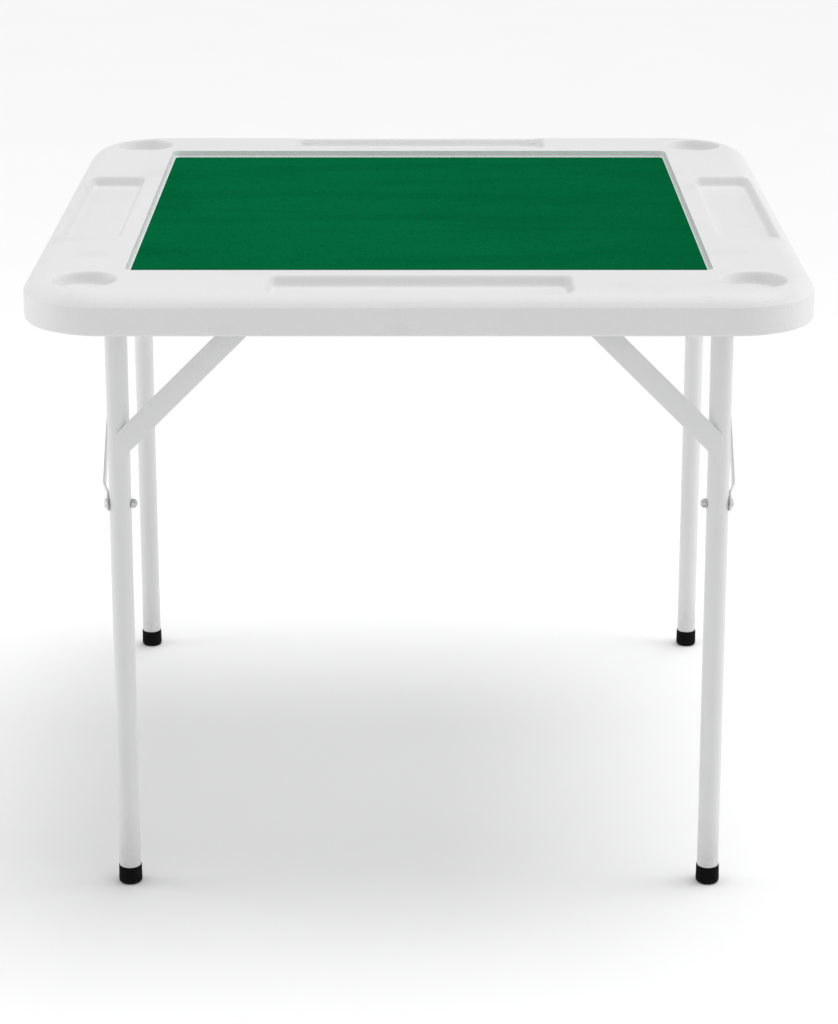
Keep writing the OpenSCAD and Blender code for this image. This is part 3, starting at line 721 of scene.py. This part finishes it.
def hinge(end):
    """Height and distance back of a frame's hinge line."""
    start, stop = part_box(f"{end}_crossbar")
    return (start.y + stop.y) / 2, (start.z + stop.z) / 2


def weld_lines(end):
    """Closed and open lines of points that the weld beads of one frame follow."""
    hinge_y, hinge_z = hinge(end)
    outward = ENDS[end]
    lines = []
    for side, way in SIDES.items():
        ring = []
        for i in range(72):
            turn = math.tau * i / 72
            drop = max(TUBE_R * abs(math.cos(turn)), LEG_STOP) + 0.2 * MM
            x = way * LEG_X[end] + TUBE_R * math.cos(turn)
            y = hinge_y + (TUBE_R - 0.3 * MM) * math.sin(turn)
            ring.append((x, y, hinge_z - drop))
        lines.append((ring, True))
        start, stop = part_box(f"{end}_brace_{side}")
        far_x = max(abs(start.x), abs(stop.x)) * way
        near_x = min(abs(start.x), abs(stop.x)) * way
        face = hinge_y + outward * (TUBE_R + 0.5 * MM)
        cut = BRACE_W * math.sqrt(2)
        low, high = start.z + 1 * MM, start.z + cut - 1 * MM
        lines.append(([(far_x, face, low), (far_x, face, high)], False))
        crown, along = hinge_y + outward * (TUBE_R - 0.7 * MM), stop.z + 0.4 * MM
        lines.append(([(near_x, crown, along), (near_x + way * cut, crown, along)], False))
    return lines


def weld_beads(end):
    """A rippled bead of weld metal along each line."""
    points, edges = [], []
    for line, closed in weld_lines(end):
        first = len(points)
        points += line
        edges += [(first + i, first + i + 1) for i in range(len(line) - 1)]
        edges += [(first + len(line) - 1, first)] if closed else []
    mesh = bpy.data.meshes.new(f"{end}_weld_lines")
    mesh.from_pydata(points, edges, [])
    recipe = Recipe(f"{end}_weld_bead")
    line = recipe.add("GeometryNodeMeshToCurve", {}, {"Mesh": recipe.start})
    sockets = {"Curve": line, "Length": recipe.size("Step", 0.5 * MM)}
    line = recipe.add("GeometryNodeResampleCurve", {"mode": "LENGTH"}, sockets)
    run = recipe.add("GeometryNodeSplineParameter").output("Length")
    ripple = (run / recipe.size("Ripple", 2.1 * MM) * math.tau).math("SINE")
    uneven = {"Vector": recipe.add("GeometryNodeInputPosition"), "Scale": 120.0}
    uneven = recipe.add("ShaderNodeTexNoise", {}, uneven)
    thick = 0.84 + ripple * 0.12 + (uneven - 0.5) * 0.3
    section = {"Resolution": 10, "Radius": recipe.size("Bead radius", BEAD_R)}
    section = recipe.add("GeometryNodeCurvePrimitiveCircle", {}, section)
    line = recipe.add("GeometryNodeSetCurveRadius", {}, {"Curve": line, "Radius": thick})
    sockets = {"Curve": line, "Profile Curve": section, "Fill Caps": True}
    bead = recipe.add("GeometryNodeCurveToMesh", {}, sockets)
    beads = recipe.build(f"{end}_welds", mesh, bead, enamel, 60)
    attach(beads, f"{end}_frame")


for end in ENDS:
    weld_beads(end)
    for side in SIDES:
        flat = f"{end}_brace_{side}"
        eased(f"{end}_flat_brace_{side}", flat, f"{end}_frame", enamel, 0.4 * MM)

# ---------------------------------------------------------------------------------------------
# Foot caps: black rubber cups pushed over the tube ends. They are moulded with a little taper,
# a thin upper lip and a dished sole, and stand flat on the floor.
# ---------------------------------------------------------------------------------------------
CAP_PROFILE = [  # height and radius in millimetres, from the dished sole up and over the lip
    (1.2, 5.0), (0.9, 6.0), (-0.3, 6.6), (-0.3, 10.7), (0.2, 11.8), (1.0, 12.8), (2.0, 13.4),
    (3.2, 13.7), (4.5, 13.75), (8.0, 13.68), (13.0, 13.58), (18.0, 13.5), (20.9, 13.45),
    (21.5, 13.35), (21.85, 13.1), (22.0, 12.8), (21.9, 12.6), (21.4, 12.52), (19.0, 12.5),
]


def black_rubber():
    """Matt black rubber: fine moulded grain, grey bloom, and dust and rub round the sole."""
    f = Finish("black_rubber", {"Specular IOR Level": 0.08})
    bloom = f.noise(70.0, 4.0)
    dust = (1.0 - f.step(f.axis("Z"), 1 * MM, 6 * MM)) * f.step(f.noise(260.0, 4.0), 0.4, 0.7)
    base = f.mix(bloom, (0.002, 0.002, 0.002), (0.006, 0.006, 0.006))
    base = f.mix(dust * 0.3, base, (0.06, 0.057, 0.052))
    height = f.noise(1400.0, 2.0) + f.cells(500.0) * 0.4
    return f.finished(base, 0.66 + bloom * 0.15 + dust * 0.15, height, 0.3, 0.25 * MM)


def foot_cap(end, side, material):
    """One cap in place on its splayed leg, cut level at the floor."""
    hinge_y, hinge_z = hinge(end)
    mesh = turned([(s * MM, r * MM, "round", 1) for s, r in CAP_PROFILE], 64)
    slant = math.tan(SPLAY[end]) * SIDES[side]
    foot_x = LEG_X[end] * SIDES[side] + hinge_z * slant
    for v in mesh.vertices:
        x, y, z = v.co
        v.co = (foot_x + x - z * slant, hinge_y + y, max(0.0, z + x * slant))
    cap = piece(f"{end}_cap_{side}", mesh, material, 40)
    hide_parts(f"{end}_foot_{side}")
    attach(cap, f"{end}_frame")


rubber = black_rubber()
for end in ENDS:
    for side in SIDES:
        foot_cap(end, side, rubber)

# ---------------------------------------------------------------------------------------------
# Strut bolts: a button-head socket bolt goes through each strut and leg, and a domed nut holds
# it on the inner side. Both are zinc-plated steel.
# ---------------------------------------------------------------------------------------------
BOLT_HEAD_R = 6.5 * MM
BOLT_HEAD_H = 3.5 * MM
BOLT_HEAD_EDGE = 0.4 * MM
BOLT_R = 3 * MM
SOCKET_HALF_W = 2 * MM
SOCKET_DEEP = 1.8 * MM
NUT_HALF_W = 5 * MM
NUT_CORNER = 5.75 * MM
NUT_EASED = 5.2 * MM
NUT_H = 4 * MM
NUT_BEVEL = 0.5 * MM
NUT_DOME_R = 4.7 * MM
NUT_DOME_H = 3 * MM


def button_head():
    """The head of a socket bolt, with a little of its shank."""
    rows = [(-1 * MM, BOLT_R, "round", 1), (0, BOLT_R, "round", 1)]
    rows.append((0, BOLT_HEAD_R - 0.3 * MM, "round", 1))
    dome = domed(BOLT_HEAD_R, BOLT_HEAD_H - BOLT_HEAD_EDGE, 10)[:6]
    rows += [(BOLT_HEAD_EDGE + row[0], *row[1:]) for row in dome]
    top = rows[-1][0]
    socket = [(top, SOCKET_HALF_W, "hex", 1), (top - SOCKET_DEEP, SOCKET_HALF_W, "hex", 1)]
    return turned(rows + socket, 60)


def domed_nut():
    """A hexagonal nut with eased corners and a closed dome."""
    rows = [(0, NUT_HALF_W, "hex", NUT_EASED), (NUT_BEVEL, NUT_HALF_W, "hex", NUT_CORNER)]
    rows.append((NUT_H - NUT_BEVEL, NUT_HALF_W, "hex", NUT_CORNER))
    rows.append((NUT_H, NUT_HALF_W, "hex", NUT_EASED))
    dome = domed(NUT_DOME_R, NUT_DOME_H, 8)
    return turned(rows + [(NUT_H + row[0], *row[1:]) for row in dome], 60)


for end in ENDS:
    body = f"{end}_frame"
    start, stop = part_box(f"{end}_bolt_right")
    y, z = (start.y + stop.y) / 2, (start.z + stop.z) / 2
    heads = [(way * (stop.x - BOLT_HEAD_H), y, z) for way in (-1, 1)]
    bolts = fixings(f"{end}_bolts", button_head(), heads, "out", body, zinc, 5)
    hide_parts(f"{end}_bolt_left", f"{end}_bolt_right")
    start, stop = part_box(f"{end}_nut_right")
    y, z = (start.y + stop.y) / 2, (start.z + stop.z) / 2
    seats = [(way * stop.x, y, z) for way in (-1, 1)]
    nuts = fixings(f"{end}_nuts", domed_nut(), seats, "in", body, zinc, 9)
    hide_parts(f"{end}_nut_left", f"{end}_nut_right")

# ---------------------------------------------------------------------------------------------
# Folding struts: two flat links to a leg, cut from 2 mm strip with round ends and powder coated.
# They hinge on a rivet at the elbow. The lower link is joggled so that the two lie side by side.
# ---------------------------------------------------------------------------------------------
for end in ENDS:
    for side in SIDES:
        for half in ("lower", "upper"):
            body = f"{end}_{side}_{half}_strut"
            link = f"{half}_link_{end}_{side}"
            name = f"{half}_strut_{end}_{side}"
            eased(name, link, body, enamel, 0.35 * MM)


def natural_nylon():
    """Unpigmented nylon: milky, a little yellow, with flow marks and rubbed faces."""
    f = Finish("natural_nylon", {"Specular IOR Level": 0.5})
    flow = f.noise(90.0, 4.0, (1.0, 1.0, 0.3))
    base = f.mix(flow, (0.66, 0.65, 0.6), (0.76, 0.75, 0.7))
    return f.finished(base, 0.35 + flow * 0.15, flow + f.noise(900.0) * 0.4, 0.2, 0.2 * MM)


# ---------------------------------------------------------------------------------------------
# Parts that keep their own shape: the tubes, the board, the bushes, rings and rivets. Each takes
# the finish of its material slot.
# ---------------------------------------------------------------------------------------------
finishes = {
    "moulded_plastic": moulded_white,
    "baize": cloth_green,
    "board": board_brown,
    "enamelled_steel": enamel,
    "rubber": rubber,
    "zinc_steel": zinc,
    "nylon": natural_nylon(),
}
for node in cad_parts.values():
    for held in node.material_slots:
        held.material = finishes[held.material.name.split(".")[0]]

# ---------------------------------------------------------------------------------------------
# Studio: a pale seamless floor, an even white sky, a broad sun straight above and a soft box at
# each side.
# ---------------------------------------------------------------------------------------------
FLOOR_HALF = 60

pale = Finish("pale_floor", {"Roughness": 0.9, "Specular IOR Level": 0.1})
paint = pale.mix(pale.noise(3.0), (0.93, 0.93, 0.93), (0.95, 0.95, 0.95))
pale.tree.links.new(paint.socket, pale.shader.inputs["Base Color"])
floor_mesh = bpy.data.meshes.new("floor")
signs = ((-1, -1), (1, -1), (1, 1), (-1, 1))
floor_corners = [(x * FLOOR_HALF, y * FLOOR_HALF, 0) for x, y in signs]
floor_mesh.from_pydata(floor_corners, [], [(0, 1, 2, 3)])
floor_mesh.materials.append(pale.material)
floor = bpy.data.objects.new("floor", floor_mesh)
bpy.context.scene.collection.objects.link(floor)

SKY_STRENGTH = 0.56
world = bpy.data.worlds.new("studio")
bpy.context.scene.world = world
world.use_nodes = True
sky = world.node_tree.nodes["Background"]
sky.inputs["Color"].default_value = (1, 1, 1, 1)
sky.inputs["Strength"].default_value = SKY_STRENGTH


def light(name, kind, place, power, **settings):
    """A lamp at a place, aimed at the middle of the table."""
    lamp = bpy.data.objects.new(name, bpy.data.lights.new(name, kind))
    lamp.location = place
    aim = Vector((0, 0, 0.5)) - Vector(place)
    lamp.rotation_euler = aim.to_track_quat("-Z", "Y").to_euler()
    lamp.data.energy = power
    for setting, value in settings.items():
        setattr(lamp.data, setting, value)
    bpy.context.scene.collection.objects.link(lamp)


light("sun", "SUN", (0.55, 0.35, 3.0), 1.42, angle=math.radians(40))
light("left_box", "AREA", (-3.2, 0.1, 1.3), 20, shape="RECTANGLE", size=1.6, size_y=2.4)
light("right_box", "AREA", (3.2, 0.1, 1.3), 22, shape="RECTANGLE", size=1.6, size_y=2.4)
bpy.context.scene.view_settings.view_transform = "Standard"
